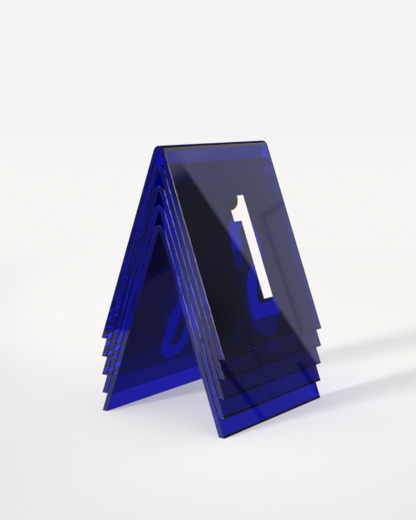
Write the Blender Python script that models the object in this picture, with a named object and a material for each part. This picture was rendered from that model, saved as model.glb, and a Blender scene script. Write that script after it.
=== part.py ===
"""Nested set of tent-shaped table number holders, bent from clear blue acrylic sheet.

Frame: metres, +Z up, X along the ridge, the numbered front facing -Y, and the
origin on the table under the middle of the set. Tent 1 is the outermost one and
carries the numeral 1. The last tent stands on the table, inside all the others.
Each tent's own origin is the centre of its bend, on the line along which it lifts.
"""

import math

import bmesh
import bpy
from mathutils import Vector

# The bent sheets.
TENT_COUNT = 5
TENT_HEIGHT = 0.100
TENT_WIDTH = 0.089
SHEET_THICKNESS = 0.003
HALF_ANGLE = math.radians(20.3)
BEND_INNER_RADIUS = 0.0005
BEND_STEPS = 14
# Clear space between two nested sheets, square to the legs.
NEST_GAP = 0.00035

# The numerals, cut from thin white film and laid on both outer faces of a tent.
NUMERAL_HEIGHT = 0.0546
NUMERAL_WIDTH = 0.0236
NUMERAL_STROKE = 0.0076
NUMERAL_BAR = 0.0073
# From the end of the bend down the leg to the top of a numeral.
NUMERAL_DROP = 0.0262
# How far a numeral's middle lies from the middle of the leg, along +X.
FRONT_NUMERAL_SHIFT = 0.0017
BACK_NUMERAL_SHIFT = 0.0007
# How far a round end runs past the line that the flat ends keep.
ROUND_OVERSHOOT = 0.0005
# How far the loose ends of the 2, 3 and 5 reach from the top or the foot.
TERMINAL_REACH = 0.0185
FILM_THICKNESS = 0.0001
FILM_CLEARANCE = 0.0001
HALF_TURN_STEPS = 16
# Where one arc ends and the next begins, the two equal points are made one.
MERGE_DISTANCE = 0.000002

# The numeral 1.
ONE_STEM_RIGHT = 0.0066
ONE_TOP_WIDTH = 0.0052
ONE_FLAG_REACH = 0.0062
ONE_FLAG_TOP = 0.0072
ONE_FLAG_FOOT = 0.0131

# The numeral 2.
TWO_TAIL_START = 0.0080
TWO_TAIL_END = 0.0390
TWO_FOOT_RIGHT = 0.0113

# The numeral 3.
THREE_WAIST_RADIUS = 0.0060
THREE_BAR_LEFT = -0.0020

# The numeral 4.
FOUR_BAR_FOOT = 0.0105
FOUR_STEM_RIGHT = 0.0078
FOUR_TOP_WIDTH = 0.0092
FOUR_COUNTER_TOP = 0.0385

# The numeral 5.
FIVE_BOWL_TOP = 0.0246
FIVE_STEM_FOOT = 0.0232
FIVE_SIDE_INSET = 0.0010

# Colours as linear red, green and blue.
ACRYLIC_COLOUR = (0.012, 0.012, 0.42)
ACRYLIC_ALPHA = 0.65
ACRYLIC_ROUGHNESS = 0.04
FILM_COLOUR = (0.92, 0.91, 0.89)
FILM_ROUGHNESS = 0.55

FRONT = -1
BACK = 1

# What follows from the sizes above.
BEND_OUTER_RADIUS = BEND_INNER_RADIUS + SHEET_THICKNESS
BEND_HEIGHT = TENT_HEIGHT - BEND_OUTER_RADIUS
NEST_STEP = (SHEET_THICKNESS + NEST_GAP) / math.sin(HALF_ANGLE)
BOWL_OUTER = NUMERAL_WIDTH / 2
BOWL_INNER = BOWL_OUTER - NUMERAL_STROKE
BOWL_MIDDLE = (BOWL_OUTER + BOWL_INNER) / 2
TOP_BOWL_HEIGHT = NUMERAL_HEIGHT + ROUND_OVERSHOOT - BOWL_OUTER
FOOT_BOWL_HEIGHT = BOWL_OUTER - ROUND_OVERSHOOT


def clear_scene():
    """Remove every object that the file starts with."""
    for obj in list(bpy.data.objects):
        bpy.data.objects.remove(obj)


def make_material(name, colour, roughness, alpha=1.0):
    """A Principled material of one plain colour."""
    material = bpy.data.materials.new(name)
    material.use_nodes = True
    shader = material.node_tree.nodes["Principled BSDF"]
    shader.inputs["Base Color"].default_value = (*colour, 1.0)
    shader.inputs["Roughness"].default_value = roughness
    shader.inputs["Metallic"].default_value = 0.0
    shader.inputs["Alpha"].default_value = alpha
    return material


def arc(centre, radius, start, end, steps=HALF_TURN_STEPS):
    """Points on an arc of a circle, both ends included, with the angles in degrees."""
    angles = [math.radians(start + (end - start) * i / steps) for i in range(steps + 1)]
    return [(centre[0] + radius * math.cos(a), centre[1] + radius * math.sin(a)) for a in angles]


def tent_section():
    """The sheet's cross-section as (y, z) points around the centre of the bend."""
    start = math.degrees(HALF_ANGLE)
    end = 180 - start
    outer_bend = arc((0, 0), BEND_OUTER_RADIUS, start, end, BEND_STEPS)
    inner_bend = arc((0, 0), BEND_INNER_RADIUS, end, start, BEND_STEPS)

    def foot(radius, side):
        """Where the leg's face at this distance from the bend's centre meets the table."""
        down = (BEND_HEIGHT + radius * math.sin(HALF_ANGLE)) * math.tan(HALF_ANGLE)
        return (side * (radius * math.cos(HALF_ANGLE) + down), -BEND_HEIGHT)

    outer = [foot(BEND_OUTER_RADIUS, BACK), *outer_bend, foot(BEND_OUTER_RADIUS, FRONT)]
    inner = [foot(BEND_INNER_RADIUS, FRONT), *inner_bend, foot(BEND_INNER_RADIUS, BACK)]
    return outer + inner


def extruded(name, loops, offset, normal_shift):
    """A closed mesh: flat loops of points filled, then drawn out from offset by normal_shift."""
    shape = bmesh.new()
    for loop in loops:
        verts = [shape.verts.new(Vector(point) + Vector(offset)) for point in loop]
        for pair in zip(verts, verts[1:] + verts[:1]):
            shape.edges.new(pair)
    bmesh.ops.remove_doubles(shape, verts=shape.verts, dist=MERGE_DISTANCE)
    bmesh.ops.triangle_fill(shape, use_beauty=True, use_dissolve=False, edges=shape.edges)
    faces = list(shape.faces)
    grown = bmesh.ops.extrude_face_region(shape, geom=faces, use_keep_orig=True)
    moved = [item for item in grown["geom"] if isinstance(item, bmesh.types.BMVert)]
    bmesh.ops.translate(shape, verts=moved, vec=normal_shift)
    bmesh.ops.recalc_face_normals(shape, faces=shape.faces)
    mesh = bpy.data.meshes.new(name)
    shape.to_mesh(mesh)
    shape.free()
    return mesh


def tent_place(number):
    """Where the centre of this tent's bend lies."""
    nested_steps = TENT_COUNT - number
    return Vector((0, 0, BEND_HEIGHT + nested_steps * NEST_STEP))


def build_tent(number, section):
    """One bent sheet, whose origin is the centre of its bend."""
    name = f"tent_{number}"
    loop = [(0, y, z) for y, z in section]
    mesh = extruded(name, [loop], (-TENT_WIDTH / 2, 0, 0), (TENT_WIDTH, 0, 0))
    mesh.materials.append(
        make_material(f"{name}_acrylic", ACRYLIC_COLOUR, ACRYLIC_ROUGHNESS, ACRYLIC_ALPHA)
    )
    mesh.shade_smooth()
    mesh.set_sharp_from_angle(angle=math.radians(30))
    tent = bpy.data.objects.new(name, mesh)
    tent.location = tent_place(number)
    bpy.context.scene.collection.objects.link(tent)
    return tent


def outline_one():
    """A stem with a hooked flag and no foot."""
    right = ONE_STEM_RIGHT
    left = right - NUMERAL_STROKE
    tip = left - ONE_FLAG_REACH
    top_left = right - ONE_TOP_WIDTH
    flag_foot = NUMERAL_HEIGHT - ONE_FLAG_FOOT
    hook = [
        (
            tip + (top_left - tip) * math.sin(math.radians(angle)),
            NUMERAL_HEIGHT - ONE_FLAG_TOP * math.cos(math.radians(angle)),
        )
        for angle in range(0, 91, 9)
    ]
    stem = [(right, NUMERAL_HEIGHT), (right, 0), (left, 0), (left, flag_foot), (tip, flag_foot)]
    return [hook + stem]


def outline_two():
    """A round top that runs through an S-shaped tail into a flat foot."""
    rise = TWO_TAIL_END - TWO_TAIL_START
    turn = 2 * math.degrees(math.atan2(2 * BOWL_MIDDLE, rise))
    bend = rise / (2 * math.sin(math.radians(turn)))
    wide = bend + NUMERAL_STROKE / 2
    tight = bend - NUMERAL_STROKE / 2
    low_centre = (bend - BOWL_MIDDLE, TWO_TAIL_START)
    high_centre = (BOWL_MIDDLE - bend, TWO_TAIL_END)
    top = (0, TOP_BOWL_HEIGHT)
    end = NUMERAL_HEIGHT - TERMINAL_REACH
    foot = [(-BOWL_OUTER, 0), (TWO_FOOT_RIGHT, 0), (TWO_FOOT_RIGHT, NUMERAL_BAR)]
    foot += [(-BOWL_INNER, NUMERAL_BAR)]
    right_side = arc(low_centre, tight, 180, 180 - turn) + arc(high_centre, wide, -turn, 0)
    round_top = arc(top, BOWL_OUTER, 0, 180)
    terminal = [(-BOWL_OUTER, end), (-BOWL_INNER, end)]
    inner_top = arc(top, BOWL_INNER, 180, 0)
    left_side = arc(high_centre, tight, 0, -turn) + arc(low_centre, wide, 180 - turn, 180)
    return [foot + right_side + round_top + terminal + inner_top + left_side]


def outline_three():
    """Two equal bowls that share the bar at the waist, one the mirror image of the other."""
    waist = NUMERAL_HEIGHT / 2
    half_bar = NUMERAL_BAR / 2
    end = NUMERAL_HEIGHT - TERMINAL_REACH
    top = (0, TOP_BOWL_HEIGHT)
    corner = (BOWL_MIDDLE - THREE_WAIST_RADIUS, waist + THREE_WAIST_RADIUS)
    outer = THREE_WAIST_RADIUS + NUMERAL_STROKE / 2
    inner = THREE_WAIST_RADIUS - NUMERAL_BAR / 2
    notch = -math.degrees(math.asin(THREE_WAIST_RADIUS / outer))
    upper = arc(corner, outer, notch, 0)
    upper += arc(top, BOWL_OUTER, 0, 180)
    upper += [(-BOWL_OUTER, end), (-BOWL_INNER, end)]
    upper += arc(top, BOWL_INNER, 180, 0)
    upper += [(BOWL_INNER, corner[1])]
    upper += arc(corner, inner, -30, -90, HALF_TURN_STEPS // 4)
    upper += [(THREE_BAR_LEFT, waist + half_bar)]
    lower = [(x, NUMERAL_HEIGHT - y) for x, y in reversed(upper)]
    return [upper + lower[:-1]]


def outline_four():
    """A stem, a bar across it and a sloping side, round a closed counter."""
    stem_right = FOUR_STEM_RIGHT
    stem_left = stem_right - NUMERAL_STROKE
    bar_top = FOUR_BAR_FOOT + NUMERAL_BAR
    outline = [
        (-BOWL_OUTER, FOUR_BAR_FOOT),
        (stem_left, FOUR_BAR_FOOT),
        (stem_left, 0),
        (stem_right, 0),
        (stem_right, FOUR_BAR_FOOT),
        (BOWL_OUTER, FOUR_BAR_FOOT),
        (BOWL_OUTER, bar_top),
        (stem_right, bar_top),
        (stem_right, NUMERAL_HEIGHT),
        (stem_right - FOUR_TOP_WIDTH, NUMERAL_HEIGHT),
        (-BOWL_OUTER, bar_top),
    ]
    counter = [(-BOWL_INNER, bar_top), (stem_left, bar_top), (stem_left, FOUR_COUNTER_TOP)]
    return [outline, counter]


def outline_five():
    """A flat top and a short stem over an open bowl."""
    side = BOWL_OUTER - FIVE_SIDE_INSET
    stem_right = NUMERAL_STROKE - side
    bar_foot = NUMERAL_HEIGHT - NUMERAL_BAR
    bowl_top = (0, FIVE_BOWL_TOP)
    bowl_foot = (0, FOOT_BOWL_HEIGHT)
    join = math.degrees(math.acos(stem_right / BOWL_OUTER))
    outline = [(-side, NUMERAL_HEIGHT), (side, NUMERAL_HEIGHT), (side, bar_foot)]
    outline += [(stem_right, bar_foot)]
    outline += arc(bowl_top, BOWL_OUTER, join, 0)
    outline += arc(bowl_foot, BOWL_OUTER, 0, -180)
    outline += [(-BOWL_OUTER, TERMINAL_REACH), (-BOWL_INNER, TERMINAL_REACH)]
    outline += arc(bowl_foot, BOWL_INNER, -180, 0)
    outline += arc(bowl_top, BOWL_INNER, 0, 180)
    outline += [(-BOWL_INNER, FIVE_STEM_FOOT), (-side, FIVE_STEM_FOOT)]
    return [outline]


OUTLINES = {1: outline_one, 2: outline_two, 3: outline_three, 4: outline_four, 5: outline_five}
SIDES = {"front": (FRONT, FRONT_NUMERAL_SHIFT), "back": (BACK, BACK_NUMERAL_SHIFT)}


def numeral_place(side, shift):
    """Where a numeral's foot lies on the leg's outer face, from the centre of the bend."""
    along = NUMERAL_DROP + NUMERAL_HEIGHT
    y = BEND_OUTER_RADIUS * math.cos(HALF_ANGLE) + along * math.sin(HALF_ANGLE)
    z = BEND_OUTER_RADIUS * math.sin(HALF_ANGLE) - along * math.cos(HALF_ANGLE)
    return Vector((shift, side * y, z))


def build_numeral(number, where, tent):
    """One cut numeral, laid just clear of the outer face of the tent's front or back leg."""
    name = f"numeral_{number}_{where}"
    side, shift = SIDES[where]
    loops = [[(x, y, 0) for x, y in loop] for loop in OUTLINES[number]()]
    mesh = extruded(name, loops, (0, 0, FILM_CLEARANCE), (0, 0, FILM_THICKNESS))
    mesh.materials.append(make_material(f"{name}_film", FILM_COLOUR, FILM_ROUGHNESS))
    numeral = bpy.data.objects.new(name, mesh)
    numeral.parent = tent
    numeral.location = numeral_place(side, shift)
    numeral.rotation_euler = (math.pi / 2 - HALF_ANGLE, 0, 0 if side == FRONT else math.pi)
    bpy.context.scene.collection.objects.link(numeral)


def main():
    """Build every tent and the two numerals that it carries."""
    clear_scene()
    section = tent_section()
    for number in range(1, TENT_COUNT + 1):
        tent = build_tent(number, section)
        for where in SIDES:
            build_numeral(number, where, tent)


main()
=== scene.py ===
"""Looks of a nested set of clear blue acrylic tents that number wedding tables.

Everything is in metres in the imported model's frame: +Z up, X along the ridge, the
numbered front facing -Y and the origin on the table under the middle of the set.
Each bent sheet is modelled again with a finer bend and softened edges, the cut film
numerals keep their solids and get their finish here, and a plain white studio with
one low side lamp lights them.
"""

import logging
import math
from dataclasses import dataclass, field
from enum import Enum

import bmesh
import bpy
from mathutils import Matrix, Vector


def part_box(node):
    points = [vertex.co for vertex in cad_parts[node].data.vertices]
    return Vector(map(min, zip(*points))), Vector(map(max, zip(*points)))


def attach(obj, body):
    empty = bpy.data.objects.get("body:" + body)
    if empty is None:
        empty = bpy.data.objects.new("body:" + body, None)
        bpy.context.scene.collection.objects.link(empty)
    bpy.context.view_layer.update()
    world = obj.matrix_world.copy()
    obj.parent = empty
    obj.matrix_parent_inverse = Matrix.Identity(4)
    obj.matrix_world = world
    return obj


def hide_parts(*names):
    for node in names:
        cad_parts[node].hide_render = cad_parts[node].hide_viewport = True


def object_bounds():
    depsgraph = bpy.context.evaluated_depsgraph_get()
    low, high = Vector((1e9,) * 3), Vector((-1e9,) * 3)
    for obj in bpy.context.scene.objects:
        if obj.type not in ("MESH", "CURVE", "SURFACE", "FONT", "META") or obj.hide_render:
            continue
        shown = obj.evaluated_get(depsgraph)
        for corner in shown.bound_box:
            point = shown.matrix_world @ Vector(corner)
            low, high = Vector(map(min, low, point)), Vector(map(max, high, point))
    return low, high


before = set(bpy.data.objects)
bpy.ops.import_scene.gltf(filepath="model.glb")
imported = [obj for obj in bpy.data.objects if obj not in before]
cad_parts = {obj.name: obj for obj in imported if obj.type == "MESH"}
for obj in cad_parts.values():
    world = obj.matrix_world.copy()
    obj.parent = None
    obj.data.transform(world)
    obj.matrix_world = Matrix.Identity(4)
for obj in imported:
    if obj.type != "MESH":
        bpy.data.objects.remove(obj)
CAD_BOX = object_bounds()

# The main view's direction along the table, in degrees from +Y towards +X.
VIEW_HEADING = 52.978

# A colour Mix node has inputs and outputs for every kind of value: these are its colour ones.
MIX_FACTOR = 0
MIX_FIRST = 6
MIX_SECOND = 7
MIX_RESULT = 2

Pair = tuple[float, float]
Triple = tuple[float, float, float]

log = logging.getLogger("tents")


# ---------------------------------------------------------------------------
# Named options
# ---------------------------------------------------------------------------


class Face(Enum):
    """The two outer faces of a tent; the value is the sign of the face's Y direction."""

    FRONT = -1
    BACK = 1


class Slot(Enum):
    """The record's material slots."""

    ACRYLIC = "blue_acrylic"
    FILM = "white_film"


class Curve(Enum):
    """How a fade goes from its low value to its high one."""

    SMOOTH = "SMOOTHSTEP"
    STRAIGHT = "LINEAR"


class SheetSurface(Enum):
    """The two finishes on one sheet; the value is the mesh's material index."""

    POLISHED = 0
    CUT = 1


# ---------------------------------------------------------------------------
# Node trees
# ---------------------------------------------------------------------------


@dataclass
class NodeSheet:
    """A node tree with short calls to add nodes and join them."""

    tree: bpy.types.NodeTree

    def add(self, kind: str, **settings: object) -> bpy.types.Node:
        """Add a node.

        Args:
            kind: Blender's name for the node type.
            settings: The node's own properties.

        Returns:
            The new node.
        """
        node = self.tree.nodes.new(kind)
        for name, value in settings.items():
            setattr(node, name, value)
        return node

    def feed(self, node: bpy.types.Node, socket: str | int, source: object) -> None:
        """Give an input socket a link or a plain value.

        Args:
            node: The node to feed.
            socket: The input's name or place.
            source: An output socket, or a value for the input itself.
        """
        target = node.inputs[socket]
        if isinstance(source, bpy.types.NodeSocket):
            self.tree.links.new(source, target)
        else:
            target.default_value = source

    def sum(self, operation: str, first: object, second: object = 0.0) -> bpy.types.NodeSocket:
        """Work out one value with a Math node.

        Args:
            operation: The Math node's operation.
            first: A socket or a number.
            second: A socket or a number.

        Returns:
            The result's socket.
        """
        node = self.add("ShaderNodeMath", operation=operation)
        self.feed(node, 0, first)
        self.feed(node, 1, second)
        return node.outputs[0]

    def fade(
        self,
        value: object,
        start: float,
        end: float,
        low: object = 0.0,
        high: object = 1.0,
        curve: Curve = Curve.SMOOTH,
    ) -> bpy.types.NodeSocket:
        """Map a value from one range to another.

        Args:
            value: The socket to map.
            start: The value that gives low.
            end: The value that gives high.
            low: What the fade begins at.
            high: What the fade ends at.
            curve: How it goes from one to the other.

        Returns:
            The faded value's socket.
        """
        node = self.add("ShaderNodeMapRange", interpolation_type=curve.value)
        for name, source in (
            ("Value", value),
            ("From Min", start),
            ("From Max", end),
            ("To Min", low),
            ("To Max", high),
        ):
            self.feed(node, name, source)
        return node.outputs["Result"]

    def noise(self, vector: object, scale: object, detail: float) -> bpy.types.NodeSocket:
        """A noise value from 0 to 1.

        Args:
            vector: The coordinates' socket.
            scale: Blobs per metre, as a socket or a number.
            detail: How many finer octaves it has.

        Returns:
            The noise's factor.
        """
        node = self.add("ShaderNodeTexNoise")
        self.feed(node, "Vector", vector)
        self.feed(node, "Scale", scale)
        self.feed(node, "Detail", detail)
        return node.outputs["Fac"]

    def stretched(self, vector: object, scale: Triple, turn: Triple) -> bpy.types.NodeSocket:
        """Coordinates that are scaled along each axis and turned.

        Args:
            vector: The coordinates' socket.
            scale: The factor along each axis.
            turn: The turn about each axis, in radians.

        Returns:
            The new coordinates' socket.
        """
        node = self.add("ShaderNodeMapping")
        self.feed(node, "Vector", vector)
        self.feed(node, "Scale", scale)
        self.feed(node, "Rotation", turn)
        return node.outputs["Vector"]

    def vector(self, operation: str, first: object, second: object) -> bpy.types.NodeSocket:
        """Work out one vector with a Vector Math node.

        Args:
            operation: The Vector Math node's operation.
            first: A socket or a vector.
            second: A socket or a vector.

        Returns:
            The result's socket.
        """
        node = self.add("ShaderNodeVectorMath", operation=operation)
        self.feed(node, 0, first)
        self.feed(node, 1, second)
        return node.outputs["Vector"]

    def scaled(self, vector: object, factor: float) -> bpy.types.NodeSocket:
        """Multiply a vector or a colour by a number.

        Args:
            vector: The socket to scale.
            factor: The number.

        Returns:
            The result's socket.
        """
        node = self.add("ShaderNodeVectorMath", operation="SCALE")
        self.feed(node, 0, vector)
        self.feed(node, "Scale", factor)
        return node.outputs["Vector"]

    def length(self, vector: object) -> bpy.types.NodeSocket:
        """Measure a vector.

        Args:
            vector: The vector's socket.

        Returns:
            The length's socket.
        """
        node = self.add("ShaderNodeVectorMath", operation="LENGTH")
        self.feed(node, 0, vector)
        return node.outputs["Value"]

    def blend(self, factor: object, first: Triple, second: Triple) -> bpy.types.NodeSocket:
        """Mix two colours.

        Args:
            factor: How much of the second colour there is.
            first: The first colour.
            second: The second colour.

        Returns:
            The colour's socket.
        """
        node = self.add("ShaderNodeMix", data_type="RGBA")
        self.feed(node, MIX_FACTOR, factor)
        self.feed(node, MIX_FIRST, (*first, 1.0))
        self.feed(node, MIX_SECOND, (*second, 1.0))
        return node.outputs[MIX_RESULT]

    def mix_shaders(self, factor: object, first: object, second: object = None) -> bpy.types.NodeSocket:
        """Mix two shaders.

        Args:
            factor: How much of the second shader there is.
            first: The first shader's socket.
            second: The second shader's socket, or None for black.

        Returns:
            The mixed shader's socket.
        """
        node = self.add("ShaderNodeMixShader")
        self.feed(node, 0, factor)
        self.feed(node, 1, first)
        if second is not None:
            self.feed(node, 2, second)
        return node.outputs["Shader"]


@dataclass
class EffectGroup:
    """A shader node group with named inputs and outputs, built once."""

    name: str
    inputs: dict[str, object]
    outputs: tuple[str, ...]
    tree: bpy.types.NodeTree = field(init=False)
    sheet: NodeSheet = field(init=False)

    def __post_init__(self) -> None:
        """Make the group, its sockets and its two end nodes."""
        self.tree = bpy.data.node_groups.new(self.name, "ShaderNodeTree")
        self.sheet = NodeSheet(self.tree)
        for name, value in self.inputs.items():
            kind = "NodeSocketVector" if value is None else "NodeSocketFloat"
            socket = self.tree.interface.new_socket(name, in_out="INPUT", socket_type=kind)
            if value is not None:
                socket.default_value = value
        for name in self.outputs:
            self.tree.interface.new_socket(name, in_out="OUTPUT", socket_type="NodeSocketFloat")
        self.start = self.sheet.add("NodeGroupInput")
        self.end = self.sheet.add("NodeGroupOutput")
        self.wire()

    def given(self, name: str) -> bpy.types.NodeSocket:
        """The value that a material gives to one of the group's inputs."""
        return self.start.outputs[name]

    def wire(self) -> None:
        """Build the effect between the group's two ends."""
        raise NotImplementedError

    def place(self, sheet: NodeSheet, **values: object) -> bpy.types.Node:
        """Put the group in a material.

        Args:
            sheet: The material's node tree.
            values: What each input is given, with spaces in its name as underscores.

        Returns:
            The group's node.
        """
        node = sheet.add("ShaderNodeGroup", node_tree=self.tree)
        for name, value in values.items():
            sheet.feed(node, name.replace("_", " "), value)
        return node


class HandlingMarks(EffectGroup):
    """Hairline scratches, faint wiped smudges and dust on a polished surface."""

    SMUDGES_PER_METRE = 38.0
    SMUDGE_DETAIL = 4.0
    SMUDGE_STRETCH = (1.0, 0.6, 0.45)
    SMUDGE_TURN = (0.3, 0.5, 0.2)
    SMUDGE_BAND = (0.48, 0.72)
    HAIRLINES_PER_METRE = 900.0
    HAIRLINE_STRETCH = (0.02, 1.0, 1.0)
    HAIRLINE_TURNS = ((0.2, 0.9, 0.4), (1.1, -0.5, 0.8))
    HAIRLINE_BAND = (0.74, 0.80)
    DUST_PER_METRE = 420.0
    DUST_BAND = (0.10, 0.05)

    def __init__(self) -> None:
        """Name the group's inputs, with the values of a clean new sheet, and its outputs."""
        super().__init__(
            "handling_marks",
            {"Vector": None, "Roughness": 0.02, "Smudge": 0.02, "Scratch": 0.3, "Dust": 0.05},
            ("Roughness", "Height"),
        )

    def hairlines(self, turn: Triple) -> bpy.types.NodeSocket:
        """Sparse straight scratches that run one way.

        Args:
            turn: The direction, as a turn of the coordinates.

        Returns:
            The mask's socket.
        """
        sheet = self.sheet
        along = sheet.stretched(self.given("Vector"), self.HAIRLINE_STRETCH, turn)
        return sheet.fade(sheet.noise(along, self.HAIRLINES_PER_METRE, 0.0), *self.HAIRLINE_BAND)

    def wire(self) -> None:
        """Add the marks together into a roughness and a height."""
        sheet = self.sheet
        vector = self.given("Vector")
        smears = sheet.stretched(vector, self.SMUDGE_STRETCH, self.SMUDGE_TURN)
        blobs = sheet.noise(smears, self.SMUDGES_PER_METRE, self.SMUDGE_DETAIL)
        smudges = sheet.fade(blobs, *self.SMUDGE_BAND)
        specks = sheet.add("ShaderNodeTexVoronoi", feature="F1")
        sheet.feed(specks, "Vector", vector)
        sheet.feed(specks, "Scale", self.DUST_PER_METRE)
        dust = sheet.fade(specks.outputs["Distance"], *self.DUST_BAND)
        scratches = sheet.sum("MAXIMUM", *[self.hairlines(turn) for turn in self.HAIRLINE_TURNS])
        rough = sheet.sum("MULTIPLY", smudges, self.given("Smudge"))
        rough = sheet.sum("ADD", rough, sheet.sum("MULTIPLY", dust, self.given("Dust")))
        rough = sheet.sum("ADD", rough, self.given("Roughness"))
        depth = sheet.sum("MULTIPLY", scratches, self.given("Scratch"))
        sheet.feed(self.end, "Roughness", rough)
        sheet.feed(self.end, "Height", sheet.sum("SUBTRACT", 0.0, depth))


class FineGrain(EffectGroup):
    """An even fine grain with a soft mottle, as on matt film and on backdrop paper."""

    DETAIL = 3.0

    def __init__(self) -> None:
        """Name the group's inputs and outputs."""
        super().__init__(
            "fine_grain", {"Vector": None, "Scale": 4000.0, "Mottle Scale": 60.0}, ("Grain", "Mottle")
        )

    def wire(self) -> None:
        """One noise for the grain and a much coarser one for the mottle."""
        sheet = self.sheet
        for output, scale in (("Grain", "Scale"), ("Mottle", "Mottle Scale")):
            noise = sheet.noise(self.given("Vector"), self.given(scale), self.DETAIL)
            sheet.feed(self.end, output, noise)


class SawLines(EffectGroup):
    """The close lines that a cutter leaves across an edge, and the painted streaks of light piped along the
    sheet that show in it.
    """

    DASHES_PER_METRE = 75.0
    COLUMNS_PER_METRE = 1300.0
    LONGEST_SHIFT = 5.0
    STREAK_BAND = (0.36, 0.80)
    # At this height both legs have as many painted light streaks. Above it the front one has more.
    EVEN_HEIGHT = 0.065
    BIAS_PER_METRE = 3.0
    LINE_DETAIL = 1.0
    PATCHES_PER_METRE = 120.0
    PATCH_DETAIL = 3.0
    PATCH_BAND = (0.35, 0.70)

    def __init__(self, half_angle: float) -> None:
        """Keep the legs' lean, which the lines follow.

        Args:
            half_angle: The angle between a leg and the vertical, in radians.
        """
        self.half_angle = half_angle
        super().__init__(
            "saw_lines",
            {"Vector": None, "Roughness": 0.1, "Spread": 0.05, "Lines Per Metre": 2600.0},
            ("Roughness", "Height", "Streak"),
        )

    def dashes(self, down: object, through: object, side: object) -> bpy.types.NodeSocket:
        """Painted straight streaks of light along the leg, each broken into dashes of its own brightness.

        Args:
            down: The distance along the leg.
            through: The distance across the sheet's thickness.
            side: Which leg it is.

        Returns:
            The brightness's socket.
        """
        sheet = self.sheet
        column = sheet.sum("FLOOR", sheet.sum("MULTIPLY", through, self.COLUMNS_PER_METRE))
        start = sheet.add("ShaderNodeTexWhiteNoise", noise_dimensions="1D")
        sheet.feed(start, "W", column)
        shift = sheet.sum("MULTIPLY", start.outputs["Value"], self.LONGEST_SHIFT)
        place = sheet.sum("ADD", sheet.sum("MULTIPLY", down, self.DASHES_PER_METRE), shift)
        cell = sheet.add("ShaderNodeCombineXYZ")
        sheet.feed(cell, "X", column)
        sheet.feed(cell, "Y", sheet.sum("FLOOR", place))
        sheet.feed(cell, "Z", side)
        dash = sheet.add("ShaderNodeTexWhiteNoise", noise_dimensions="3D")
        sheet.feed(dash, "Vector", cell.outputs["Vector"])
        return dash.outputs["Value"]

    def wire(self) -> None:
        """Lines along the distance down the leg, which is the same on both legs."""
        sheet = self.sheet
        parts = sheet.add("ShaderNodeSeparateXYZ")
        sheet.feed(parts, "Vector", self.given("Vector"))
        height, away = parts.outputs["Z"], sheet.sum("ABSOLUTE", parts.outputs["Y"])
        cosine, sine = math.cos(self.half_angle), math.sin(self.half_angle)
        down = sheet.sum(
            "SUBTRACT", sheet.sum("MULTIPLY", height, cosine), sheet.sum("MULTIPLY", away, sine)
        )
        through = sheet.sum(
            "ADD", sheet.sum("MULTIPLY", height, sine), sheet.sum("MULTIPLY", away, cosine)
        )
        along = sheet.add("ShaderNodeCombineXYZ")
        sheet.feed(along, "Z", down)
        sheet.feed(along, "X", parts.outputs["X"])
        side = sheet.sum("SIGN", parts.outputs["Y"])
        above = sheet.sum("SUBTRACT", height, self.EVEN_HEIGHT)
        bias = sheet.sum("MULTIPLY", side, sheet.sum("MULTIPLY", above, self.BIAS_PER_METRE))
        streaks = sheet.sum("SUBTRACT", self.dashes(down, through, side), bias)
        sheet.feed(self.end, "Streak", sheet.fade(streaks, *self.STREAK_BAND))
        lines = sheet.noise(along.outputs["Vector"], self.given("Lines Per Metre"), self.LINE_DETAIL)
        patches = sheet.noise(self.given("Vector"), self.PATCHES_PER_METRE, self.PATCH_DETAIL)
        patches = sheet.fade(patches, *self.PATCH_BAND)
        rough = sheet.sum("MULTIPLY", patches, self.given("Spread"))
        sheet.feed(self.end, "Roughness", sheet.sum("ADD", rough, self.given("Roughness")))
        sheet.feed(self.end, "Height", lines)


# ---------------------------------------------------------------------------
# Finishes
# ---------------------------------------------------------------------------


def new_material(name: str) -> tuple[bpy.types.Material, NodeSheet, bpy.types.Node]:
    """Start a material.

    Args:
        name: The material's name.

    Returns:
        The material, its node sheet and its Principled shader.
    """
    material = bpy.data.materials.new(name)
    material.use_nodes = True
    return material, NodeSheet(material.node_tree), material.node_tree.nodes["Principled BSDF"]


def set_plain(shader: bpy.types.Node, **values: object) -> None:
    """Set a shader's plain sockets.

    Args:
        shader: The Principled shader.
        values: Each socket's value, with spaces in its name as underscores.
    """
    for name, value in values.items():
        shader.inputs[name.replace("_", " ")].default_value = value


def object_coordinates(sheet: NodeSheet) -> bpy.types.NodeSocket:
    """The piece's own coordinates, in metres."""
    return sheet.add("ShaderNodeTexCoord").outputs["Object"]


def add_relief(sheet: NodeSheet, shader: bpy.types.Node, height: object, depth: float) -> None:
    """Bump a surface.

    Args:
        sheet: The material's node tree.
        shader: The Principled shader.
        height: The relief's socket.
        depth: How deep one unit of height is, in metres.
    """
    bump = sheet.add("ShaderNodeBump")
    sheet.feed(bump, "Height", height)
    sheet.feed(bump, "Distance", depth)
    sheet.feed(shader, "Normal", bump.outputs["Normal"])


@dataclass(frozen=True)
class ClearBlueAcrylic:
    """Cast acrylic sheet, polished on its faces and tinted a deep clear blue."""

    marks: HandlingMarks
    tint: Triple = (0.008, 0.007, 0.46)
    refraction: float = 1.49
    roughness: float = 0.0
    smudge: float = 0.006
    scratch_depth: float = 0.0000003

    def make(self) -> bpy.types.Material:
        """Build the material.

        Returns:
            The material.
        """
        material, sheet, shader = new_material("clear_blue_acrylic")
        set_plain(shader, Base_Color=(*self.tint, 1.0), IOR=self.refraction, Metallic=0.0)
        set_plain(shader, Transmission_Weight=1.0)
        marks = self.marks.place(
            sheet, Vector=object_coordinates(sheet), Roughness=self.roughness, Smudge=self.smudge
        )
        sheet.feed(shader, "Roughness", marks.outputs["Roughness"])
        add_relief(sheet, shader, marks.outputs["Height"], self.scratch_depth)
        return material


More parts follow.
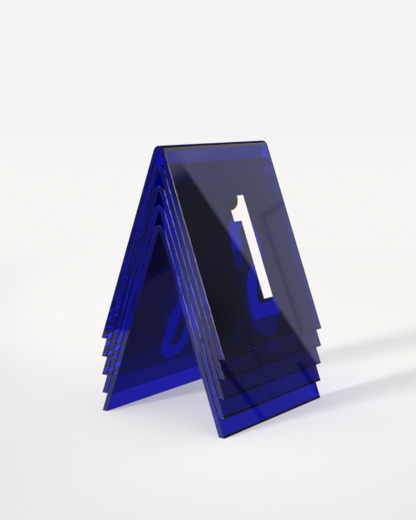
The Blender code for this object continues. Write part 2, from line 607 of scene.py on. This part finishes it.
@dataclass(frozen=True)
class CutEdge:
    """The sheet's cut and flame-polished edges, which scatter a little light. Their colour is painted
    light: dark blue with bright blue streaks for the light piped along the sheet.
    """

    lines: SawLines
    tint: Triple = (0.003, 0.003, 0.15)
    # Painted light: the blue of the streaks of piped light.
    painted_streak_blue: Triple = (0.003, 0.003, 1.00)
    refraction: float = 1.49
    roughness: float = 0.0
    spread: float = 0.01
    line_depth: float = 0.0000001

    def make(self) -> bpy.types.Material:
        """Build the material.

        Returns:
            The material.
        """
        material, sheet, shader = new_material("cut_acrylic_edge")
        set_plain(shader, IOR=self.refraction, Metallic=0.0, Transmission_Weight=1.0)
        lines = self.lines.place(
            sheet, Vector=object_coordinates(sheet), Roughness=self.roughness, Spread=self.spread
        )
        # The base colour carries the painted light streaks.
        sheet.feed(shader, "Base Color", sheet.blend(lines.outputs["Streak"], self.tint, self.painted_streak_blue))
        sheet.feed(shader, "Roughness", lines.outputs["Roughness"])
        add_relief(sheet, shader, lines.outputs["Height"], self.line_depth)
        return material


@dataclass(frozen=True)
class WhiteFilm:
    """Matt white cut vinyl film with a fine leathery grain, and a painted glow that stands in for light
    falling on it.
    """

    grain: FineGrain
    # Painted light: the film glows though it is no lamp.
    glow: Triple
    light: Triple = (0.95, 0.93, 0.90)
    dark: Triple = (0.90, 0.88, 0.85)
    refraction: float = 1.45
    roughness: Pair = (0.43, 0.56)
    grain_band: Pair = (0.3, 0.7)
    grain_depth: float = 0.00001

    def make(self, name: str) -> bpy.types.Material:
        """Build the material.

        Args:
            name: The material's name.

        Returns:
            The material.
        """
        material, sheet, shader = new_material(name)
        set_plain(shader, Metallic=0.0, IOR=self.refraction)
        # The painted glow goes into the emission.
        set_plain(shader, Emission_Color=(*self.glow, 1.0), Emission_Strength=1.0)
        grain = self.grain.place(sheet, Vector=object_coordinates(sheet))
        sheet.feed(shader, "Base Color", sheet.blend(grain.outputs["Mottle"], self.light, self.dark))
        rough = sheet.fade(grain.outputs["Grain"], *self.grain_band, *self.roughness)
        sheet.feed(shader, "Roughness", rough)
        add_relief(sheet, shader, grain.outputs["Grain"], self.grain_depth)
        return material


# ---------------------------------------------------------------------------
# The set of tents
# ---------------------------------------------------------------------------


@dataclass
class Tent:
    """One sheet bent into a tent, made again with a fine bend and softened edges."""

    number: int
    thickness: float = 0.003
    inner_radius: float = 0.0005
    bend_steps: int = 56
    flat_guard: float = 0.0010
    edge_round: float = 0.00014
    edge_segments: int = 2
    sharp_angle: float = math.radians(8)
    corner_angle: float = math.radians(40)
    end_slope: float = 0.1
    foot_slope: float = 0.99

    @property
    def node(self) -> str:
        """The solid that this sheet stands for."""
        return f"tent_{self.number}"

    @property
    def body(self) -> str:
        """The moving body that this sheet belongs to."""
        return f"tent_{self.number}_body"

    @property
    def low(self) -> Vector:
        """The lowest corner of the solid's box."""
        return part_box(self.node)[0]

    @property
    def high(self) -> Vector:
        """The highest corner of the solid's box."""
        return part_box(self.node)[1]

    @property
    def outer_radius(self) -> float:
        """The bend's radius on the outside."""
        return self.inner_radius + self.thickness

    @property
    def centre(self) -> Vector:
        """The centre of the bend, in the plane of the left end."""
        middle = (self.low.y + self.high.y) / 2
        return Vector((self.low.x, middle, self.high.z - self.outer_radius))

    @property
    def half_angle(self) -> float:
        """The angle between a leg and the vertical, from the solid's height and depth."""
        fall = self.centre.z - self.low.z
        reach = (self.high.y - self.low.y) / 2
        return math.acos(self.outer_radius / math.hypot(fall, reach)) - math.atan2(fall, reach)

    def leg_direction(self, face: Face) -> Vector:
        """The direction down one leg."""
        return Vector((0, face.value * math.sin(self.half_angle), -math.cos(self.half_angle)))

    def bend(self, shape: bmesh.types.BMesh) -> dict[Face, bmesh.types.BMEdge]:
        """Spin the line across the sheet's thickness round the centre of the bend.

        Args:
            shape: The empty mesh to start in.

        Returns:
            The line at the end of the bend on each face's side.
        """
        across = Vector((0, Face.FRONT.value * math.cos(self.half_angle), math.sin(self.half_angle)))
        ends = [
            shape.verts.new(self.centre + across * radius)
            for radius in (self.inner_radius, self.outer_radius)
        ]
        first = shape.edges.new(ends)
        spun = bmesh.ops.spin(
            shape,
            geom=[*ends, first],
            cent=self.centre,
            axis=(1, 0, 0),
            angle=-(math.pi - 2 * self.half_angle),
            steps=self.bend_steps,
            use_merge=False,
            use_duplicate=False,
        )
        last = next(item for item in spun["geom_last"] if isinstance(item, bmesh.types.BMEdge))
        return {Face.FRONT: first, Face.BACK: last}

    def draw_leg(self, shape: bmesh.types.BMesh, line: bmesh.types.BMEdge, face: Face) -> None:
        """Draw one leg down past the foot, with a short stretch first that keeps the rest flat.

        Args:
            shape: The mesh that holds the bend.
            line: The line at the end of the bend.
            face: Which leg it is.
        """
        length = 2 * (self.high.z - self.low.z)
        for stretch in (self.flat_guard, length):
            grown = bmesh.ops.extrude_edge_only(shape, edges=[line])["geom"]
            verts = [item for item in grown if isinstance(item, bmesh.types.BMVert)]
            bmesh.ops.translate(shape, verts=verts, vec=self.leg_direction(face) * stretch)
            line = next(
                item
                for item in grown
                if isinstance(item, bmesh.types.BMEdge) and set(item.verts) == set(verts)
            )

    def cut_feet(self, shape: bmesh.types.BMesh) -> None:
        """Cut both legs off level with the solid's foot."""
        everything = [*shape.verts, *shape.edges, *shape.faces]
        foot = (0, 0, self.low.z)
        bmesh.ops.bisect_plane(shape, geom=everything, plane_co=foot, plane_no=(0, 0, -1), clear_outer=True)

    def widen(self, shape: bmesh.types.BMesh) -> None:
        """Draw the section out along the ridge."""
        section = list(shape.faces)
        grown = bmesh.ops.extrude_face_region(shape, geom=section, use_keep_orig=True)["geom"]
        moved = [item for item in grown if isinstance(item, bmesh.types.BMVert)]
        bmesh.ops.translate(shape, verts=moved, vec=(self.high.x - self.low.x, 0, 0))
        bmesh.ops.recalc_face_normals(shape, faces=shape.faces)

    def soften_edges(self, shape: bmesh.types.BMesh) -> None:
        """Round every cut edge a little, as polishing leaves it."""
        sharp = [
            edge
            for edge in shape.edges
            if len(edge.link_faces) == 2 and edge.calc_face_angle() > self.corner_angle
        ]
        bmesh.ops.bevel(
            shape,
            geom=sharp,
            offset=self.edge_round,
            offset_type="OFFSET",
            affect="EDGES",
            segments=self.edge_segments,
            profile=0.5,
            material=-1,
            clamp_overlap=True,
        )

    def mark_cut_faces(self, shape: bmesh.types.BMesh) -> None:
        """Give the two ends and the feet the cut finish, and everything else the polished one."""
        for face in shape.faces:
            is_end = abs(face.normal.x) > self.end_slope
            is_foot = face.normal.z < -self.foot_slope
            surface = SheetSurface.CUT if is_end or is_foot else SheetSurface.POLISHED
            face.material_index = surface.value

    def build(self, polished: bpy.types.Material, cut: bpy.types.Material) -> bpy.types.Object:
        """Model the sheet, dress it and hang it on its body.

        Args:
            polished: The finish of the faces.
            cut: The finish of the cut edges.

        Returns:
            The finished piece.
        """
        shape = bmesh.new()
        for face, line in self.bend(shape).items():
            self.draw_leg(shape, line, face)
        self.cut_feet(shape)
        self.widen(shape)
        self.soften_edges(shape)
        bmesh.ops.recalc_face_normals(shape, faces=shape.faces)
        self.mark_cut_faces(shape)
        mesh = bpy.data.meshes.new(f"bent_sheet_{self.number}")
        shape.to_mesh(mesh)
        shape.free()
        mesh.shade_smooth()
        mesh.set_sharp_from_angle(angle=self.sharp_angle)
        mesh.materials.append(polished)
        mesh.materials.append(cut)
        piece = bpy.data.objects.new(mesh.name, mesh)
        bpy.context.scene.collection.objects.link(piece)
        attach(piece, self.body)
        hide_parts(self.node)
        log.info("sheet %d: %d faces", self.number, len(mesh.polygons))
        return piece


@dataclass
class NumberedSet:
    """The whole nested set: five tents, each with a numeral on its front and its back."""

    count: int = 5
    # Painted light: the films glow. The open film's faint warm glow paints it whiter. Under the sheets a
    # blue glow stands in for light falling on the film through them, and it is weaker under more sheets.
    open_painted_glow: Triple = (0.09, 0.05, 0.06)
    covered_painted_glows: tuple[float, ...] = (0.50, 0.40, 0.27, 0.22)
    tents: list[Tent] = field(init=False)

    def __post_init__(self) -> None:
        """List the tents from the outermost one inwards."""
        self.tents = [Tent(number) for number in range(1, self.count + 1)]

    def make_films(self) -> list[bpy.types.Material]:
        """Make the film finishes, each with its painted glow, in order of how many sheets lie over the
        film.

        Returns:
            The open film's material, then those with one sheet over them and more.
        """
        grain = FineGrain()
        films = [WhiteFilm(grain, glow=self.open_painted_glow).make("matt_white_film")]
        # Each covered film gets a painted blue glow.
        for sheets, blue in enumerate(self.covered_painted_glows, start=1):
            film = WhiteFilm(grain, glow=(0.0, 0.0, blue))
            films.append(film.make(f"matt_white_film_under_{sheets}"))
        return films

    def dress_numerals(self) -> None:
        """Give every cut numeral its film, with a painted glow that stands in for light falling on it, blue
        and weaker under more sheets.

        A numeral on the back is looked at through its own sheet alone.
        """
        films = self.make_films()
        for tent in self.tents:
            for face in Face:
                covers = tent.number - 1
                if face is Face.BACK:
                    covers = min(covers, 1)
                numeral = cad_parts[f"numeral_{tent.number}_{face.name.lower()}"]
                numeral.data.materials.clear()
                numeral.data.materials.append(films[covers])
                log.info("dressed %s", numeral.name)

    def build(self) -> None:
        """Make the finishes and every piece."""
        polished = ClearBlueAcrylic(HandlingMarks()).make()
        cut = CutEdge(SawLines(self.tents[0].half_angle)).make()
        for tent in self.tents:
            tent.build(polished, cut)
        self.dress_numerals()


# ---------------------------------------------------------------------------
# The studio
# ---------------------------------------------------------------------------


def direction(azimuth: float, elevation: float) -> Vector:
    """A direction in the frame.

    Args:
        azimuth: Degrees from +Y towards +X.
        elevation: Degrees above the level.

    Returns:
        The unit vector.
    """
    turn, rise = math.radians(azimuth), math.radians(elevation)
    return Vector(
        (math.sin(turn) * math.cos(rise), math.cos(turn) * math.cos(rise), math.sin(rise))
    )


@dataclass(frozen=True)
class SkyPatch:
    """One soft-edged patch of the surroundings, in degrees of azimuth and elevation.

    lean is how far the patch's sides move in azimuth for each degree above its foot.
    """

    name: str
    level: float
    azimuths: Pair
    elevations: Pair
    softness: float
    lean: float = 0.0

    def mask(self, sheet: NodeSheet, azimuth: object, elevation: object) -> bpy.types.NodeSocket:
        """How much of the patch a direction sees.

        Args:
            sheet: The world's node tree.
            azimuth: The direction's azimuth, in degrees.
            elevation: The direction's elevation, in degrees.

        Returns:
            The mask's socket.
        """
        above_foot = sheet.sum("SUBTRACT", elevation, self.elevations[0])
        across = sheet.sum("SUBTRACT", azimuth, sheet.sum("MULTIPLY", above_foot, self.lean))
        half = self.softness / 2
        result: object = 1.0
        for value, (low, high) in ((across, self.azimuths), (elevation, self.elevations)):
            above = sheet.fade(value, low - half, low + half)
            below = sheet.fade(value, high + half, high - half)
            result = sheet.sum("MULTIPLY", result, sheet.sum("MULTIPLY", above, below))
        return result


@dataclass(frozen=True)
class Surroundings:
    """The room round the table, with a tall window to the right of the front.

    The camera itself sees only an even white backdrop; the room lights the set and
    shows in its gloss.
    """

    backdrop: Triple = (0.893, 0.893, 0.890)
    base_level: float = 0.80
    patches: tuple[SkyPatch, ...] = (
        SkyPatch("ceiling", 1.10, (-180.0, 180.0), (50.0, 91.0), 20.0),
        SkyPatch("front wall", 1.10, (150.0, 181.0), (12.0, 60.0), 10.0),
        SkyPatch("unlit floor of the room", 0.10, (-181.0, 181.0), (-91.0, -2.0), 3.0),
        SkyPatch("small softbox off the left end", 16.0, (-104.0, -87.0), (1.5, 11.0), 3.0),
        SkyPatch("small softbox in front", 8.00, (165.0, 179.0), (18.0, 30.0), 3.0),
        SkyPatch("dark right wall", 0.12, (58.0, 118.0), (-3.0, 50.0), 6.0),
        SkyPatch("dark right corner", 0.06, (25.0, 82.0), (-10.0, 46.0), 10.0),
        SkyPatch("screen behind the left end", 0.15, (-51.6, -30.0), (-12.4, 30.0), 0.6),
        SkyPatch("small softbox behind the left end", 6.00, (-60.0, -38.0), (20.0, 33.0), 4.0),
        SkyPatch("lit table to the left", 1.10, (-75.0, -51.6), (-60.0, -4.0), 1.5),
        SkyPatch("lit table behind the left end", 0.90, (-51.6, -30.0), (-60.0, -12.4), 0.4),
        SkyPatch("dim wall round the window", 0.19, (110.0, 152.0), (-10.0, 40.0), 3.0),
        SkyPatch("light beside the window", 0.95, (122.0, 128.0), (21.0, 40.0), 1.4),
        SkyPatch("sill beside the window", 0.11, (125.2, 130.0), (11.8, 15.2), 2.4),
        SkyPatch("window", 1.03, (92.0, 122.76), (1.0, 38.0), 0.28, lean=0.012),
        SkyPatch("brighter top of the window", 1.28, (92.0, 122.9), (20.8, 38.0), 1.0),
        SkyPatch("window bar", 0.78, (90.0, 120.95), (16.15, 16.50), 0.3),
        SkyPatch("slanting window post", 0.78, (122.41, 122.71), (9.9, 16.4), 0.3, lean=-0.267),
        SkyPatch("thin grey post", 0.13, (125.95, 126.05), (6.0, 11.6), 0.2, lean=-0.14),
        SkyPatch("dark post", 0.05, (126.75, 127.1), (7.0, 11.4), 0.3, lean=0.10),
        SkyPatch("dark post by the window", 0.05, (123.5, 123.8), (4.0, 8.6), 0.3),
    )

    def build(self) -> None:
        """Make the world that lights the set and shows in its gloss."""
        world = bpy.data.worlds.new("white_room")
        world.use_nodes = True
        sheet = NodeSheet(world.node_tree)
        parts = sheet.add("ShaderNodeSeparateXYZ")
        sheet.feed(parts, "Vector", sheet.add("ShaderNodeTexCoord").outputs["Generated"])
        azimuth = sheet.sum("ARCTAN2", parts.outputs["X"], parts.outputs["Y"])
        azimuth = sheet.sum("DEGREES", azimuth)
        elevation = sheet.sum("DEGREES", sheet.sum("ARCSINE", parts.outputs["Z"]))
        level: object = self.base_level
        for patch in self.patches:
            mask = patch.mask(sheet, azimuth, elevation)
            level = sheet.fade(mask, 0.0, 1.0, level, patch.level, Curve.STRAIGHT)
            level.node.label = patch.name
        room = world.node_tree.nodes["Background"]
        sheet.feed(room, "Strength", level)
        sheet.feed(room, "Color", (1.0, 1.0, 1.0, 1.0))
        white = sheet.add("ShaderNodeBackground")
        sheet.feed(white, "Color", (*self.backdrop, 1.0))
        seen = sheet.add("ShaderNodeLightPath").outputs["Is Camera Ray"]
        shown = sheet.mix_shaders(seen, room.outputs["Background"], white.outputs["Background"])
        sheet.feed(world.node_tree.nodes["World Output"], "Surface", shown)
        bpy.context.scene.world = world
        log.info("surroundings: %d patches", len(self.patches))


@dataclass(frozen=True)
class SideLamp:
    """A low soft lamp off the left end, which throws the set's shadow to the right."""

    azimuth: float = -77.3
    elevation: float = 6.5
    distance: float = 6.0
    size: float = 1.0
    power: float = 1250.0
    colour: Triple = (1.0, 0.985, 0.97)

    def build(self) -> None:
        """Place the lamp and aim it at the middle of the set."""
        lamp = bpy.data.lights.new("side_lamp", "AREA")
        lamp.shape = "DISK"
        lamp.size = self.size
        lamp.energy = self.power
        lamp.color = self.colour
        place = direction(self.azimuth, self.elevation) * self.distance
        turn = place.to_track_quat("Z", "Y").to_matrix().to_4x4()
        lamp_object = bpy.data.objects.new("side_lamp", lamp)
        lamp_object.matrix_world = Matrix.Translation(place) @ turn
        lamp_object.visible_camera = False
        bpy.context.scene.collection.objects.link(lamp_object)
        log.info("side lamp at %.0f degrees", self.azimuth)


@dataclass(frozen=True)
class Backdrop:
    """A wide white table that melts into the white backdrop far from the set.

    Part of its tone is a painted even glow, which keeps the set's shadows light.
    """

    grain: FineGrain
    radius: float = 40.0
    corners: int = 96
    gap: float = 0.00002
    paper: float = 0.48
    # Painted light: the table's glow lightens the set's shadows.
    glow: float = 0.31
    roughness: float = 0.9
    mottle_per_metre: float = 6.0
    grain_depth: float = 0.00001
    # Painted light: the table is warm inside the painted pool of light and darker outside it.
    warm: Triple = (1.0, 0.99, 0.973)
    cool: Triple = (0.85, 0.85, 0.85)
    pool_centre: Triple = (0.378, 0.246, 0.0)
    pool_reach: Pair = (0.23, 0.62)
    pool_fade: Pair = (0.72, 1.12)
    melt: Pair = (0.30, 0.70)
    distant: Pair = (1.5, 6.0)
    near_white: Triple = (0.930, 0.921, 0.905)
    far_white: Triple = (0.896, 0.896, 0.893)
    dim: float = 0.45
    # Painted light: a faint blue glow round the middle of the set, in place of blue light thrown on the
    # table through the sheets.
    painted_blue_light: Triple = (0.0, 0.0, 0.07)
    no_painted_light: Triple = (0.0, 0.0, 0.0)
    painted_light_centre: Triple = (0.03, 0.0, 0.0)
    painted_light_reach: Pair = (0.04, 0.11)

    def pool(self, sheet: NodeSheet, place: object) -> bpy.types.NodeSocket:
        """The warm pool of light painted behind the set, a long oval away from the camera, with the table
        painted darker outside it.

        Args:
            sheet: The material's node tree.
            place: The coordinates' socket.

        Returns:
            The table's tone, as a socket.
        """
        turned = sheet.add("ShaderNodeVectorRotate", rotation_type="Z_AXIS")
        sheet.feed(turned, "Vector", sheet.vector("SUBTRACT", place, self.pool_centre))
        sheet.feed(turned, "Angle", math.radians(VIEW_HEADING))
        squeezed = sheet.vector("DIVIDE", turned.outputs["Vector"], (*self.pool_reach, 1.0))
        fade = sheet.fade(sheet.length(squeezed), *self.pool_fade)
        return sheet.blend(fade, self.warm, self.cool)

    def painted_glow_colour(self, sheet: NodeSheet, place: object, tone: object) -> bpy.types.NodeSocket:
        """The table's painted even glow, with painted blue light under the set that stands in for light
        thrown through the blue sheets.

        Args:
            sheet: The material's node tree.
            place: The coordinates' socket.
            tone: The table's tone.

        Returns:
            The glow's colour, as a socket.
        """
        # Painted blue light under the set.
        off = sheet.length(sheet.vector("SUBTRACT", place, self.painted_light_centre))
        painted_blue_light = sheet.blend(sheet.fade(off, *self.painted_light_reach), self.painted_blue_light, self.no_painted_light)
        return sheet.vector("ADD", sheet.scaled(tone, self.glow), painted_blue_light)

    def make(self) -> bpy.types.Material:
        """White paper near the set and the room's own tone far from it.

        Returns:
            The material.
        """
        material, sheet, shader = new_material("white_backdrop")
        place = object_coordinates(sheet)
        grain = self.grain.place(sheet, Vector=place, Mottle_Scale=self.mottle_per_metre)
        # The painted pool of light goes into both the paper's colour and its glow.
        tone = self.pool(sheet, place)
        sheet.feed(shader, "Base Color", sheet.scaled(tone, self.paper))
        set_plain(shader, Roughness=self.roughness, Specular_IOR_Level=0.0, Emission_Strength=1.0)
        add_relief(sheet, shader, grain.outputs["Grain"], self.grain_depth)
        # Painted light: the glow in the table's emission.
        sheet.feed(shader, "Emission Color", self.painted_glow_colour(sheet, place, tone))
        reach = sheet.length(place)
        white = sheet.blend(sheet.fade(reach, *self.distant), self.near_white, self.far_white)
        far = sheet.add("ShaderNodeEmission")
        sheet.feed(far, "Color", white)
        melted = sheet.mix_shaders(
            sheet.fade(reach, *self.melt), shader.outputs["BSDF"], far.outputs["Emission"]
        )
        reflections = sheet.add("ShaderNodeLightPath").outputs["Glossy Depth"]
        dimmed = sheet.mix_shaders(sheet.fade(reflections, 0.0, 1.0, 0.0, self.dim), melted)
        sheet.feed(material.node_tree.nodes["Material Output"], "Surface", dimmed)
        return material

    def build(self) -> None:
        """Lay the table just under the set's feet."""
        shape = bmesh.new()
        bmesh.ops.create_circle(shape, cap_ends=True, segments=self.corners, radius=self.radius)
        bmesh.ops.translate(shape, verts=shape.verts, vec=(0, 0, CAD_BOX[0][2] - self.gap))
        mesh = bpy.data.meshes.new("backdrop")
        shape.to_mesh(mesh)
        shape.free()
        mesh.materials.append(self.make())
        table = bpy.data.objects.new("backdrop", mesh)
        table.visible_glossy = False
        bpy.context.scene.collection.objects.link(table)
        log.info("backdrop laid")


@dataclass(frozen=True)
class Viewpoint:
    """The main camera, a little above the set and off its left front corner."""

    place: Triple = (-0.4334, -0.3230, 0.1587)
    dip: float = 8.526
    lens: float = 72.33
    sensor_height: float = 36.0
    clips: Pair = (0.01, 200.0)

    def build(self) -> None:
        """Place the camera and make it the scene's."""
        camera = bpy.data.cameras.new("main_view")
        camera.sensor_fit = "VERTICAL"
        camera.sensor_height = self.sensor_height
        camera.lens = self.lens
        camera.clip_start, camera.clip_end = self.clips
        view = bpy.data.objects.new("main_view", camera)
        view.location = self.place
        view.rotation_euler = (math.radians(90 - self.dip), 0, math.radians(-VIEW_HEADING))
        bpy.context.scene.collection.objects.link(view)
        bpy.context.scene.camera = view
        log.info("camera placed")


@dataclass(frozen=True)
class LightPaths:
    """How far light is followed: ten nested sheets have forty surfaces."""

    bounces: int = 48
    diffuse: int = 4
    glossy: int = 24

    def apply(self) -> None:
        """Set the limits and a plain tone curve."""
        scene = bpy.context.scene
        scene.cycles.max_bounces = self.bounces
        scene.cycles.transmission_bounces = self.bounces
        scene.cycles.diffuse_bounces = self.diffuse
        scene.cycles.glossy_bounces = self.glossy
        scene.view_settings.view_transform = "Standard"
        scene.view_settings.look = "None"


def main() -> None:
    """Build the set, the studio round it and the view of it."""
    logging.basicConfig(level=logging.INFO, format="%(name)s: %(message)s")
    NumberedSet().build()
    Backdrop(FineGrain()).build()
    Surroundings().build()
    SideLamp().build()
    Viewpoint().build()
    LightPaths().apply()


if __name__ == "__main__":
    main()
